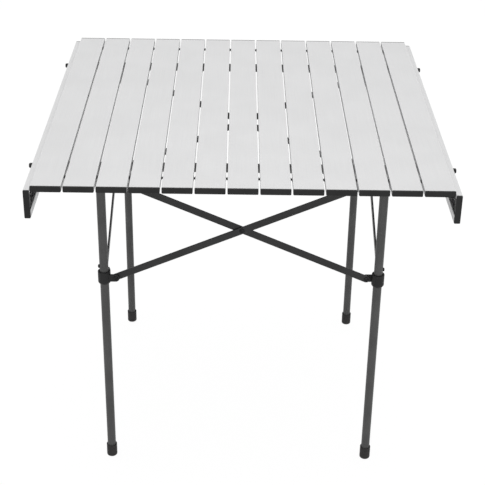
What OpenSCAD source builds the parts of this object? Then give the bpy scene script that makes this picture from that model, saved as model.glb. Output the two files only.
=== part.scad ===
// Roll-top camp table: an aluminium slat top on two rails, over a folding frame of
// four legs that are tied by a pair of crossed braces on each side.
// Millimetres. +Z is up, the slats run along Y, and the origin is on the floor at the middle.

/* [Slats] */
// Width of one slat
slat_w = 51; // [46:1:56]
// Height of one slat
slat_t = 10.4; // [9.6:0.2:12]
// Length of a slat with both end caps
slat_l = 740; // [660:5:780]
// Gap between two slats
slat_gap = 3; // [2:0.1:4]
// Wall of the slat channel
slat_wall = 1.4; // [1.2:0.1:1.8]
// Width of the return lip under each long edge
slat_lip = 5; // [3:0.5:7]
// Chamfer along the long edges of a slat
slat_edge = 0.8; // [0.4:0.1:1]
// Thickness of an end cap's face
cap_t = 3; // [2:0.5:5]
// Length of an end cap's plug inside the channel
cap_plug = 14; // [8:1:20]

/* [Hanging end slats] */
// Space between the first slat's edge and the end slat's open side
end_gap = 1.3; // [1:0.1:2]
// How far the end slat's upper edge lies below the table top
end_drop = 8; // [7.8:0.1:10]
// Diameter of a peg's knob
knob_d = 9; // [8.4:0.2:11]
// How far a knob stands out of the end slat
knob_out = 8.2; // [6:0.2:10]
// Diameter of a peg's shank
peg_d = 7.6; // [6:0.2:8]

/* [Elastic cords] */
// Diameter of the elastic cord
cord_d = 4; // [3:0.5:4]
// Outside diameter of a cord bushing's flange
bush_d = 7; // [6.5:0.1:7.6]
// Distance of each cord from the slat ends
cord_inset = 50; // [40:1:70]
// How steeply a cord drops from the last slat to the end slat, in degrees
cord_dip = 48; // [42:1:60]

/* [Rails] */
// Height of the table top above the floor
top_h = 640; // [580:5:680]
// Outside diameter of a rail
rail_d = 16; // [15:0.5:17]
// Wall of a rail tube
rail_wall = 1.2; // [1:0.1:1.6]
// Length of an end plug's spigot inside the rail
plug_in = 24; // [15:1:40]

/* [Legs] */
// Distance between two leg axes, the same both ways
leg_span = 496; // [440:4:540]
// Outside diameter of a leg
leg_d = 16; // [14:0.5:18]
// Wall of a leg tube
leg_wall = 1.2; // [1:0.1:1.8]
// Diameter of a foot
foot_d = 20; // [19.5:0.5:26]
// Height of a foot
foot_h = 26; // [20:1:40]
// Height of a stop rivet above the middle of the collar
stop_up = 21.5; // [19:0.5:30]

/* [Hubs and collars] */
// Outside diameter of a hub and of a collar
collar_d = 23; // [22.5:0.5:26]
// Height of a collar
collar_h = 25; // [20:1:28]
// Distance from a leg's axis to a brace pivot
pivot_in = 21; // [20:0.5:26]
// Thickness of a pivot lug
lug_t = 4; // [3:0.5:4.5]
// Height of a pivot lug
lug_h = 14; // [12:0.5:15]

/* [Braces] */
// Width of a flat brace
brace_w = 13; // [11:0.5:14]
// Thickness of a flat brace
brace_t = 3; // [2:0.25:3.5]
// Depth of the upper pivots below the table top
pivot_drop = 42; // [42:0.5:50]
// Height of the crossing above the lower pivots
cross_rise = 98; // [90:1:110]
// Diameter of a pivot rivet
rivet_d = 5; // [4:0.5:5.5]
// Diameter of a rivet head
head_d = 9; // [8.5:0.5:11]
// Height of a rivet head
head_h = 1.6; // [1:0.1:2]

/* [Clearances] */
// Around parts that slide or lift off
slide_fit = 0.3; // [0.3:0.05:0.5]
// Around a rivet that turns
turn_fit = 0.1; // [0.06:0.01:0.1]
// Around parts that are pressed or glued
press_fit = 0.05; // [0.04:0.01:0.08]

/* [Hidden] */
$fn = 48;
slat_count = 13;
pitch = slat_w + slat_gap;
top_w = slat_count * pitch - slat_gap;
edge_x = top_w / 2;
cord_y = slat_l / 2 - cord_inset;
cord_z = top_h - slat_t / 2;
bush_t = 0.5;
bush_rim = 0.7;
bush_hole = bush_d - 2 * bush_rim;
bush_in = 2;
stopper_d = bush_hole + 0.8;
stopper_h = 2.4;
cord_swell = 0.2;
cord_back = 0.4;
cap_fit = 0.15;
bar_len = slat_l - 2 * cap_t;
rail_z = top_h - slat_t - slide_fit - rail_d / 2;
rail_inset = 1;
rail_end = edge_x - rail_inset;
plug_head = 3.6;
plug_floor = 1;
peg_clear = 2;
peg_tip = rail_end + peg_clear;
knob_taper = 2;
plate_out = edge_x + end_gap + slat_t;
end_top = top_h - end_drop;
end_mid = end_top - slat_w / 2;
peg_at = end_mid - rail_z;
lip_low = end_top - slat_wall - slat_lip;
cheek_top = min(rail_z + rail_d / 2, lip_low - 3 * slide_fit);
leg_at = leg_span / 2;
pivot_up = top_h - pivot_drop;
pivot_low = pivot_up - 2 * cross_rise;
saddle_r = rail_d / 2 + slide_fit;
saddle_low = rail_z - saddle_r;
saddle_deep = 5;
saddle_top = rail_z - rail_d / 2 + saddle_deep;
hub_floor = 4;
leg_top = saddle_low - hub_floor;
hub_skirt = 6;
hub_low = pivot_up - lug_h / 2 - hub_skirt;
hub_taper = 1.5;
hub_taper_h = 2;
collar_taper = 2;
collar_taper_h = 3;
sink_d = leg_d + 3.5;
sink_h = 1.5;
leg_low = 4;
foot_edge = 1;
plane_gap = 0.1;
lug_gap = 0.2;
lug_from = plane_gap + brace_t + lug_gap;
reach = leg_span - 2 * pivot_in;
slope = atan2(2 * cross_rise, reach);
brace_len = norm([reach, 2 * cross_rise]);
stop_d = 7;
stop_out = 2.6;
stop_shank = 4;
stop_tail = 1.5;
head_taper = 1;
// Overlap that joins two forms, or lets a cut pass right through
over = 1;

silver = [0.80, 0.80, 0.80];
black = [0.10, 0.10, 0.11];
leg_grey = [0.30, 0.30, 0.31];
brace_grey = [0.22, 0.22, 0.23];

corners = ["front_left", "front_right", "rear_right", "rear_left"];
sides = ["front", "right", "rear", "left"];
ends = ["left", "right"];
function two(i) = str(i < 10 ? "0" : "", i);
function slat_name(i) = str("slat_", two(i));
function slat_x(i) = -edge_x + slat_w / 2 + (i - 1) * pitch;
// Sides of a slat, as signs along X, that a cord passes through
function cord_sides(i) = i == 1 ? [1] : i == slat_count ? [-1] : [-1, 1];

// Outline of a slat seen along its length: the top face is at y = 0
function slat_outline() = let (h = slat_w / 2, t = slat_t, c = slat_edge) [
    [-h + c, 0], [h - c, 0], [h, -c], [h, -t + c],
    [h - c, -t], [-h + c, -t], [-h, -t + c], [-h, -c]];

// Places what is drawn for a flat slat at its slat's position, top face up
module at_slat(i) {
    translate([slat_x(i), 0, top_h])
        children();
}

// Places what is drawn for a flat slat at a hanging end, top face outwards
module at_end(side) {
    mirror([side < 0 ? 1 : 0, 0, 0])
        translate([plate_out, 0, end_mid])
            rotate([0, 90, 0])
                children();
}

// Aluminium channel, open below, with a lip along each long edge
module slat_bar() {
    inner_w = slat_w - 2 * slat_wall;
    difference() {
        rotate([90, 0, 0])
            linear_extrude(height = bar_len, center = true)
                polygon(slat_outline());
        translate([-inner_w / 2, -slat_l / 2, -slat_t + slat_wall])
            cube([inner_w, slat_l, slat_t - 2 * slat_wall]);
        translate([-inner_w / 2 + slat_lip, -slat_l / 2, -slat_t - over])
            cube([inner_w - 2 * slat_lip, slat_l, slat_t]);
    }
}

// Slat of the top, with cord holes in the side walls that face another slat
module slat_channel(i) {
    color(silver)
        difference() {
            slat_bar();
            for (s = cord_sides(i), y = [-cord_y, cord_y])
                rotate([0, 0, 90 - 90 * s])
                    translate([slat_w / 2 - slat_wall - over, y, -slat_t / 2])
                        rotate([0, 90, 0])
                            cylinder(d = bush_hole, h = slat_wall + 2 * over);
        }
}

// End slat, with holes for its pegs and for the ends of the cords through its broad face
module end_slat_channel() {
    color(silver)
        difference() {
            slat_bar();
            for (y = [-leg_at, leg_at])
                translate([peg_at, y, -slat_t / 2])
                    cylinder(d = peg_d + 2 * press_fit, h = slat_t);
            for (y = [-cord_y, cord_y])
                translate([0, y, -slat_t / 2])
                    cylinder(d = bush_hole, h = slat_t);
        }
}

// Plastic cap for one end of a slat: a face plate and a plug that fills the channel
module end_cap() {
    plug_w = slat_w - 2 * slat_wall - 2 * cap_fit;
    plug_h = slat_t - 2 * slat_wall - 2 * cap_fit;
    translate([0, -press_fit, 0])
        rotate([90, 0, 0])
            linear_extrude(height = cap_t - press_fit)
                polygon(slat_outline());
    translate([-plug_w / 2, -over, -slat_t + slat_wall + cap_fit])
        cube([plug_w, cap_plug + over, plug_h]);
}

// Flanged bushing in the side wall of a slat, on the X axis, flange towards -X
module bushing() {
    rotate([0, 90, 0])
        difference() {
            union() {
                translate([0, 0, -bush_t])
                    cylinder(d = bush_d, h = bush_t - press_fit);
                translate([0, 0, -bush_t])
                    cylinder(d = bush_hole - 2 * press_fit, h = bush_t + slat_wall + bush_in);
            }
            translate([0, 0, -bush_t - over])
                cylinder(d = cord_d + 2 * slide_fit, h = slat_wall + bush_in + bush_t + 2 * over);
        }
}

// Both end caps of a slat
module end_caps() {
    for (turn = [0, 180])
        rotate([0, 0, turn])
            translate([0, -bar_len / 2, 0])
                end_cap();
}

// End caps of a slat of the top, and the bushings that its cords run through
module slat_caps(i) {
    color(black) {
        end_caps();
        for (s = cord_sides(i), y = [-cord_y, cord_y])
            rotate([0, 0, 90 + 90 * s])
                translate([-slat_w / 2, y, -slat_t / 2])
                    bushing();
    }
}

// Peg of an end slat: a domed knob outside and a shank that hooks into the rail's end
module peg() {
    shank = plate_out - peg_tip;
    color(black) {
        translate([0, 0, -shank])
            cylinder(d = peg_d, h = shank + knob_out / 2);
        translate([0, 0, press_fit])
            cylinder(d = knob_d, h = knob_out - knob_taper - press_fit);
        translate([0, 0, knob_out - knob_taper])
            cylinder(d1 = knob_d, d2 = knob_d - 2 * knob_taper, h = knob_taper);
    }
}

// End caps of an end slat, the bushings at the cords' ends and its two pegs
module end_slat_caps() {
    color(black) {
        end_caps();
        for (y = [-cord_y, cord_y])
            translate([0, y, 0])
                rotate([0, 90, 0])
                    bushing();
    }
    for (y = [-leg_at, leg_at])
        translate([peg_at, y, 0])
            peg();
}

// Rail tube along X
module rail(y) {
    color(leg_grey)
        translate([-rail_end, y, rail_z])
            rotate([0, 90, 0])
                difference() {
                    cylinder(d = rail_d, h = 2 * rail_end);
                    translate([0, 0, -over])
                        cylinder(d = rail_d - 2 * rail_wall, h = 2 * (rail_end + over));
                }
}

// Plug in a rail's end: a spigot in the tube and a cradle, open at the top, for a peg
module rail_plug() {
    notch_d = peg_d + 2 * slide_fit;
    difference() {
        rotate([0, 90, 0]) {
            translate([0, 0, -plug_in])
                cylinder(d = rail_d - 2 * rail_wall - 2 * press_fit, h = plug_in + over);
            translate([0, 0, press_fit])
                cylinder(d = rail_d, h = plug_head - press_fit);
        }
        translate([plug_floor, 0, 0])
            rotate([0, 90, 0])
                cylinder(d = notch_d, h = plug_head);
        translate([plug_floor, -notch_d / 2, 0])
            cube([plug_head, notch_d, rail_d]);
        translate([0, -rail_d, cheek_top - rail_z])
            cube([plug_head + over, 2 * rail_d, rail_d]);
    }
}

// The four rail plugs
module rail_plugs() {
    color(black)
        for (turn = [0, 180], y = [-leg_at, leg_at])
            rotate([0, 0, turn])
                translate([rail_end, y, rail_z])
                    rail_plug();
}

// End of an elastic cord: out of the last slat's open underside, through the end slat's face and
// into a stopper
module cord_end(bend_x) {
    drop = cord_z - end_mid;
    exit_x = bend_x + drop / tan(cord_dip);
    stop_x = plate_out + bush_t + press_fit;
    translate([bend_x, 0, 0]) {
        sphere(d = cord_d + cord_swell);
        rotate([0, 90 + cord_dip, 0])
            cylinder(d = cord_d, h = drop / sin(cord_dip));
    }
    translate([exit_x, 0, -drop]) {
        sphere(d = cord_d + cord_swell);
        rotate([0, 90, 0])
            cylinder(d = cord_d, h = stop_x + over - exit_x);
    }
    translate([stop_x, 0, -drop])
        rotate([0, 90, 0])
            cylinder(d = stopper_d, h = stopper_h);
}

// Elastic cord through all the slats, held by a stopper at each end slat
module cord(y) {
    bend_x = edge_x - cord_back - (cord_z - end_mid) / tan(cord_dip);
    color(black)
        translate([0, y, cord_z]) {
            translate([-bend_x, 0, 0])
                rotate([0, 90, 0])
                    cylinder(d = cord_d, h = 2 * bend_x);
            for (s = [0, 1])
                mirror([s, 0, 0])
                    cord_end(bend_x);
        }
}

// Places what is drawn for the front left corner at a corner, turned to match
module at_corner(k) {
    rotate([0, 0, 90 * k])
        translate([-leg_at, -leg_at, 0])
            children();
}

// Leg tube, with the rivet that stops the collar on its outer side
module leg(k) {
    // The rivet points left on the left legs and right on the right legs
    out = [180, 270, 180, 270][k];
    at_corner(k) {
        color(leg_grey)
            difference() {
                translate([0, 0, leg_low + press_fit])
                    cylinder(d = leg_d, h = leg_top - leg_low - 2 * press_fit);
                translate([0, 0, leg_low - over])
                    cylinder(d = leg_d - 2 * leg_wall, h = leg_top);
                rotate([0, 0, out])
                    translate([0, 0, pivot_low + stop_up])
                        rotate([0, 90, 0])
                            cylinder(d = stop_shank + 2 * press_fit, h = leg_d);
            }
        color(black)
            rotate([0, 0, out])
                translate([leg_d / 2, 0, pivot_low + stop_up])
                    rotate([0, 90, 0])
                        stop_rivet();
    }
}

// Stop rivet: a domed head on the tube and a tail inside it, along Z
module stop_rivet() {
    translate([0, 0, -leg_wall - stop_tail])
        cylinder(d = stop_shank, h = leg_wall + stop_tail + over);
    translate([0, 0, press_fit])
        cylinder(d = stop_d, h = stop_out / 2 - press_fit);
    translate([0, 0, stop_out / 2])
        cylinder(d1 = stop_d, d2 = stop_d / 2, h = stop_out / 2);
}

// Foot: a cup over the lower end of a leg
module foot(k) {
    color(black)
        at_corner(k)
            difference() {
                union() {
                    cylinder(d1 = foot_d - 2 * foot_edge, d2 = foot_d, h = foot_edge);
                    translate([0, 0, foot_edge])
                        cylinder(d = foot_d, h = foot_h - 2 * foot_edge);
                    translate([0, 0, foot_h - foot_edge])
                        cylinder(d1 = foot_d, d2 = foot_d - foot_edge, h = foot_edge);
                }
                translate([0, 0, leg_low])
                    cylinder(d = leg_d + 2 * press_fit, h = foot_h);
            }
}

// Pivot lug on the X axis: an ear that lies from y = from to y = from + lug_t
module lug(from, z) {
    translate([0, from + lug_t, z])
        rotate([90, 0, 0])
            difference() {
                union() {
                    translate([0, -lug_h / 2, 0])
                        cube([pivot_in, lug_h, lug_t]);
                    translate([pivot_in, 0, 0])
                        cylinder(d = lug_h, h = lug_t);
                }
                translate([pivot_in, 0, -over])
                    cylinder(d = rivet_d + 2 * turn_fit, h = lug_t + 2 * over);
            }
}

// The two lugs of a corner: the first runs along +X, the second along +Y
module lugs(first, z) {
    lug(first, z);
    mirror([1, -1, 0])
        lug(-first - lug_t, z);
}

// Collar that slides on a leg and carries the lower ends of two braces
module collar(k) {
    color(black)
        at_corner(k)
            difference() {
                union() {
                    translate([0, 0, pivot_low - collar_h / 2])
                        cylinder(d1 = collar_d - 2 * collar_taper, d2 = collar_d, h = collar_taper_h);
                    translate([0, 0, pivot_low - collar_h / 2 + collar_taper_h])
                        cylinder(d = collar_d, h = collar_h - collar_taper_h);
                    lugs(-lug_from - lug_t, pivot_low);
                }
                translate([0, 0, pivot_low - collar_h])
                    cylinder(d = leg_d + 2 * slide_fit, h = 2 * collar_h);
                translate([0, 0, pivot_low + collar_h / 2 - sink_h])
                    cylinder(d1 = leg_d + 2 * slide_fit, d2 = sink_d, h = sink_h + 0.01);
            }
}

// Hub on a leg's top: pivots for the upper ends of two braces, and a saddle for a rail
module hub(k) {
    color(black)
        at_corner(k)
            difference() {
                union() {
                    translate([0, 0, hub_low])
                        cylinder(d1 = collar_d - 2 * hub_taper, d2 = collar_d, h = hub_taper_h);
                    translate([0, 0, hub_low + hub_taper_h])
                        cylinder(d = collar_d, h = saddle_top - hub_low - hub_taper_h);
                    lugs(lug_from, pivot_up);
                }
                translate([0, 0, hub_low - over])
                    cylinder(d = leg_d + 2 * press_fit, h = leg_top - hub_low + over);
                rotate([0, 0, 90 * (k % 2)])
                    translate([-collar_d, 0, rail_z])
                        rotate([0, 90, 0])
                            cylinder(r = saddle_r, h = 2 * collar_d);
            }
}

// Rivet along Y through a brace and its lug, from y = a to y = b, with a head at each end
module rivet(a, b) {
    translate([0, b, 0])
        rotate([90, 0, 0]) {
            translate([0, 0, -head_h / 2])
                cylinder(d = rivet_d, h = b - a + head_h);
            translate([0, 0, -head_h])
                cylinder(d1 = head_d - 2 * head_taper, d2 = head_d, h = head_h);
            translate([0, 0, b - a])
                cylinder(d1 = head_d, d2 = head_d - 2 * head_taper, h = head_h);
        }
}

// Flat brace along X with round ends and three holes, from y = 0 to y = brace_t
module brace_bar(middle_hole) {
    translate([0, brace_t, 0])
        rotate([90, 0, 0])
            difference() {
                union() {
                    translate([-brace_len / 2, -brace_w / 2, 0])
                        cube([brace_len, brace_w, brace_t]);
                    for (x = [-brace_len / 2, brace_len / 2])
                        translate([x, 0, 0])
                            cylinder(d = brace_w, h = brace_t);
                }
                for (x = [-brace_len / 2, brace_len / 2])
                    translate([x, 0, -over])
                        cylinder(d = rivet_d + 2 * press_fit, h = brace_t + 2 * over);
                translate([0, 0, -over])
                    cylinder(d = middle_hole, h = brace_t + 2 * over);
            }
}

// Outer brace of a side: rises to the right, and carries the rivet at the crossing
module brace_outer(k) {
    y0 = -leg_at - plane_gap - brace_t;
    out = y0 - lug_gap - lug_t;
    color(brace_grey)
        rotate([0, 0, 90 * k])
            translate([0, 0, pivot_low + cross_rise])
                rotate([0, -slope, 0]) {
                    translate([0, y0, 0])
                        brace_bar(rivet_d + 2 * press_fit);
                    for (x = [-brace_len / 2, brace_len / 2])
                        translate([x, 0, 0])
                            rivet(out - press_fit - turn_fit, y0 + brace_t + press_fit);
                    rivet(y0 - press_fit, -leg_at + plane_gap + brace_t + turn_fit);
                }
}

// Inner brace of a side: rises to the left
module brace_inner(k) {
    y0 = -leg_at + plane_gap;
    out = y0 + brace_t + lug_gap + lug_t;
    color(brace_grey)
        rotate([0, 0, 90 * k])
            translate([0, 0, pivot_low + cross_rise])
                rotate([0, slope, 0]) {
                    translate([0, y0, 0])
                        brace_bar(rivet_d + 2 * turn_fit);
                    for (x = [-brace_len / 2, brace_len / 2])
                        translate([x, 0, 0])
                            rivet(y0 - press_fit, out + press_fit + turn_fit);
                }
}

for (i = [1 : slat_count]) {
    at_slat(i) slat_channel(i);
    at_slat(i) slat_caps(i);
}
for (e = [0, 1]) {
    at_end(2 * e - 1) end_slat_channel();
    at_end(2 * e - 1) end_slat_caps();
}
for (k = [0 : 3]) {
    leg(k);
    foot(k);
    hub(k);
    collar(k);
    brace_outer(k);
    brace_inner(k);
}
rail(-leg_at);  // rail_front
rail(leg_at);  // rail_rear
rail_plugs();
cord(-cord_y);  // cord_front
cord(cord_y);  // cord_rear
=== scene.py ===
"""Dresses a packed roll top camp table: anodised slats, moulded fittings, coated tubes and rivets."""

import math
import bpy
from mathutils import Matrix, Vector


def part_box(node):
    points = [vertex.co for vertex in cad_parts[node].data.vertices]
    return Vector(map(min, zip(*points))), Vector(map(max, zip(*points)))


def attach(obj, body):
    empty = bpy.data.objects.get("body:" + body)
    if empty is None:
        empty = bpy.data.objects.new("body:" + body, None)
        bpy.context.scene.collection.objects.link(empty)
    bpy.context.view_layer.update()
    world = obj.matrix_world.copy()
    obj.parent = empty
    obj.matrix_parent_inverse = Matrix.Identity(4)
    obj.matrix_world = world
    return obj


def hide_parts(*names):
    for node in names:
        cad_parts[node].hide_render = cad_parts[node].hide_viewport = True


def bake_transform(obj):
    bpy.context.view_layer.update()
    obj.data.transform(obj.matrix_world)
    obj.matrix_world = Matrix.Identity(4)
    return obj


bl_info = {
    "name": "Roll Top Camp Table",
    "version": (1, 0, 0),
    "blender": (4, 5, 0),
    "location": "View3D > Sidebar > Camp Table",
    "description": "Builds the visible pieces of a roll top camp table around its packed model",
    "category": "Object",
}

import bmesh
import bpy
from mathutils import Matrix, Vector

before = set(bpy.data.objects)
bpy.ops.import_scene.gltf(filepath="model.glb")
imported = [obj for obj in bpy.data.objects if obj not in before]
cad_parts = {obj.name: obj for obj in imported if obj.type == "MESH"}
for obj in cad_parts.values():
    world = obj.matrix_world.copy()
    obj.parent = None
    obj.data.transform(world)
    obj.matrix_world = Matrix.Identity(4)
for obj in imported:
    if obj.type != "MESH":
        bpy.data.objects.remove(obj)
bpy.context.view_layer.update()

CORNERS = {"front_left": (-1, -1), "front_right": (1, -1), "rear_right": (1, 1), "rear_left": (-1, 1)}
SIDES = ("front", "right", "rear", "left")
# Slats count from left to right; the first and last number hang on edge at the ends of the top
SLATS = 13
LEFT_END, RIGHT_END = 0, SLATS + 1
# Turns of a fitting
STILL = (0.0, 0.0, 0.0)
HALF_TURN = (0.0, 0.0, math.pi)
# Clearance between pressed and between sliding pieces, in metres
PRESS_FIT = 0.00005
SLIDE_FIT = 0.0003
# How far a bushing's flange reaches past its hole, and its thickness
FLANGE_RIM = 0.0007
FLANGE = 0.0005
# How far a cutting tool passes beyond what it cuts
OVER = 0.01
# Faces that meet at more than this angle show a sharp edge
SHARP = math.radians(35.0)
# Shorter lengths count as nothing
TINY = 1e-6
WHITE = (1.0, 1.0, 1.0, 1.0)


def node_box(name):
    """A node's lowest and highest corner as plain vectors."""
    low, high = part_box(name)
    return Vector(low), Vector(high)


def slat_node(number):
    """The node of a slat."""
    if number == LEFT_END:
        return "end_slat_left"
    return "end_slat_right" if number == RIGHT_END else f"slat_{number:02d}"


def slat_body(number):
    """The body that carries a slat; the last slat of the top stays with the rails."""
    if number == LEFT_END:
        return "left_end_slat"
    if number == RIGHT_END:
        return "right_end_slat"
    return "rails" if number == SLATS else f"top_slat_{number}"


SLAT_LOW, SLAT_HIGH = node_box("slat_07")
END_LOW, END_HIGH = node_box("end_slat_right")
RAIL_LOW, RAIL_HIGH = node_box("rail_front")
FOOT_LOW, FOOT_HIGH = node_box("foot_rear_right")
LEG_TOP = node_box("leg_rear_right")[1].z
END_Z = (END_LOW.z + END_HIGH.z) / 2
RAIL_Z = (RAIL_LOW.z + RAIL_HIGH.z) / 2
LEG_AT = -(RAIL_LOW.y + RAIL_HIGH.y) / 2


def moved(x, y, z):
    """A move by a vector."""
    return Matrix.Translation((x, y, z))


def turned(axis, quarters=1):
    """A turn about an axis by a number of quarter turns."""
    return Matrix.Rotation(quarters * math.pi / 2, 4, axis)


# Properties


def amount(name, description, default, **kind):
    """A value that a user may change."""
    return bpy.props.FloatProperty(name=name, description=description, default=default, **kind)


def metres(name, description, default):
    """A length."""
    return amount(name, description, default, min=0.0, precision=5, unit="LENGTH")


def bearing(name, description, default):
    """An angle."""
    return amount(name, description, default, subtype="ANGLE")


def share(name, description, default):
    """A number from 0 to 1."""
    return amount(name, description, default, min=0.0, max=1.0)


def paint(name, description, default):
    """A colour in linear values."""
    return bpy.props.FloatVectorProperty(
        name=name, description=description, default=default, min=0.0, max=1.0, size=3, subtype="COLOR"
    )


class TopSizes(bpy.types.PropertyGroup):
    """Sizes of the roll-up top."""

    slat_width: metres("Slat Width", "Width of a slat", SLAT_HIGH.x - SLAT_LOW.x)
    slat_depth: metres("Slat Depth", "Thickness of a slat", SLAT_HIGH.z - SLAT_LOW.z)
    slat_length: metres("Slat Length", "Length of the channel without its caps", SLAT_HIGH.y - SLAT_LOW.y)
    wall: metres("Wall", "Wall of the slat channel", 0.0014)
    lip: metres("Lip", "Width of the lip under each long edge", 0.005)
    end_lip: metres("End Lip", "Width of the lower lip of an end slat", 0.012)
    edge: metres("Edge Radius", "Radius of a slat's long edges", 0.0011)
    cap: metres("Cap", "Thickness of an end cap's face", 0.003)
    cap_plug: metres("Cap Plug", "Length of an end cap's plug inside the channel", 0.014)
    cord: metres("Cord", "Diameter of an elastic cord", 0.004)
    cord_at: metres("Cord Place", "Distance of a cord from the middle of the slats", 0.32)
    cord_dip: bearing("Cord Dip", "How steeply a cord drops to an end slat", math.radians(48))
    bushing: metres("Bushing", "Outside diameter of a cord bushing's flange", 0.007)
    knob: metres("Knob", "Diameter of a peg's knob", 0.009)
    knob_out: metres("Knob Height", "How far a peg's knob stands out", 0.0082)
    peg: metres("Peg", "Diameter of a peg's shank", 0.0076)


class FrameSizes(bpy.types.PropertyGroup):
    """Sizes of the folding frame."""

    tube: metres("Leg Tube", "Outside diameter of a leg", 0.016)
    tube_wall: metres("Tube Wall", "Wall of the leg and rail tubes", 0.0012)
    foot: metres("Foot", "Diameter of a foot", FOOT_HIGH.x - FOOT_LOW.x)
    collar: metres("Collar", "Diameter of a hub and of a collar", 0.023)
    collar_height: metres("Collar Height", "Height of a collar", 0.025)
    pivot_in: metres("Pivot Reach", "Distance from a leg's axis to a brace pivot", 0.021)
    pivot_low: metres("Lower Pivot", "Height of the lower brace pivots", 0.402)
    pivot_up: metres("Upper Pivot", "Height of the upper brace pivots", 0.598)
    lug: metres("Lug", "Thickness of a pivot lug", 0.004)
    lug_height: metres("Lug Height", "Height of a pivot lug", 0.014)
    lug_from: metres("Lug Offset", "Distance of a lug from the leg's middle plane", 0.0033)
    brace: metres("Brace Width", "Width of a flat brace", 0.013)
    brace_depth: metres("Brace Thickness", "Thickness of a flat brace", 0.003)
    rivet: metres("Rivet", "Diameter of a rivet's shank", 0.005)
    rivet_head: metres("Rivet Head", "Diameter of a rivet's head", 0.009)
    rivet_rise: metres("Rivet Rise", "Height of a rivet's head", 0.0016)
    stop_at: metres("Stop Height", "Height of the rivet above a collar", 0.4235)


class Finishes(bpy.types.PropertyGroup):
    """Colours and gloss of the table's materials."""

    aluminium: paint("Aluminium", "Matte anodised slats", (0.632, 0.632, 0.635))
    plastic: paint("Plastic", "Moulded black fittings", (0.0145, 0.0145, 0.0148))
    rubber: paint("Rubber", "Black foot caps", (0.028, 0.0268, 0.0268))
    leg_coat: paint("Leg Coat", "Powder coat on legs and rails", (0.0722, 0.0722, 0.0718))
    brace_coat: paint("Brace Coat", "Powder coat on the braces", (0.025, 0.025, 0.0255))
    steel: paint("Steel", "Blackened rivets", (0.016, 0.016, 0.0165))
    elastic: paint("Elastic", "Braided elastic cord", (0.018, 0.018, 0.019))
    slat_gloss: share("Slat Roughness", "Roughness of the anodised face", 0.42)
    plastic_gloss: share("Plastic Roughness", "Roughness of moulded plastic", 0.52)
    coat_gloss: share("Coat Roughness", "Roughness of the powder coat", 0.46)


class StageSettings(bpy.types.PropertyGroup):
    """Camera, light and floor."""

    eye: bpy.props.FloatVectorProperty(
        name="Eye", description="Place of the camera", default=(-0.0121, -2.1854, 1.5190), size=3,
        subtype="TRANSLATION",
    )
    look_down: bearing("Look Down", "Tilt of the view below level", math.radians(28.3135))
    look_right: bearing("Look Right", "Turn of the view towards the right", 0.00695)
    lean: bearing("Lean", "Roll of the camera", 0.01583)
    lens: amount("Lens", "Focal length on a 36 mm frame", 91.48)
    floor: paint("Floor", "Colour of the floor", (0.9, 0.9, 0.9))
    ambient: amount("Ambient", "Strength of the even light", 0.74)
    key: amount("Key", "Power of the overhead softbox", 22.0)
    fill: amount("Fill", "Power of the front softbox", 11.0)


# Nodes


class Wire:
    """A socket that takes part in Python arithmetic by adding Math nodes."""

    def __init__(self, bench, socket):
        self.bench = bench
        self.socket = socket

    def _math(self, operation, *values):
        return self.bench.add("ShaderNodeMath", {"operation": operation}, dict(enumerate(values)))

    def __add__(self, other):
        return self._math("ADD", self, other)

    __radd__ = __add__

    def __mul__(self, other):
        return self._math("MULTIPLY", self, other)

    def __sub__(self, other):
        return self._math("SUBTRACT", self, other)

    def __rsub__(self, other):
        return self._math("SUBTRACT", other, self)

    def __gt__(self, other):
        return self._math("GREATER_THAN", self, other)

    def sine(self):
        """The sine of this value."""
        return self._math("SINE", self)

    def top(self, other):
        """The larger of two values."""
        return self._math("MAXIMUM", self, other)

    def ramp(self, low, high, start=0.0, end=1.0):
        """This value taken smoothly from low..high to start..end."""
        return self.bench.add(
            "ShaderNodeMapRange",
            {"interpolation_type": "SMOOTHSTEP"},
            {"Value": self, "From Min": low, "From Max": high, "To Min": start, "To Max": end},
        )


class Bench:
    """A node tree, and one method that puts nodes on it."""

    def __init__(self, tree):
        self.tree = tree

    def fill(self, socket, value):
        """Links a wire to a socket, or sets a plain value on it."""
        if isinstance(value, Wire):
            self.tree.links.new(value.socket, socket)
        else:
            socket.default_value = value

    def add(self, kind, settings=None, sockets=None, out=0):
        """Adds a node, sets it up, fills its sockets and returns one of its outputs."""
        node = self.tree.nodes.new(kind)
        for key, value in (settings or {}).items():
            setattr(node, key, value)
        for key, value in (sockets or {}).items():
            self.fill(node.inputs[key], value)
        return Wire(self, node.outputs[out]) if node.outputs else node


def cleared(owner):
    """The emptied node tree of a material or a world."""
    owner.use_nodes = True
    owner.node_tree.nodes.clear()
    return owner.node_tree


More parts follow.
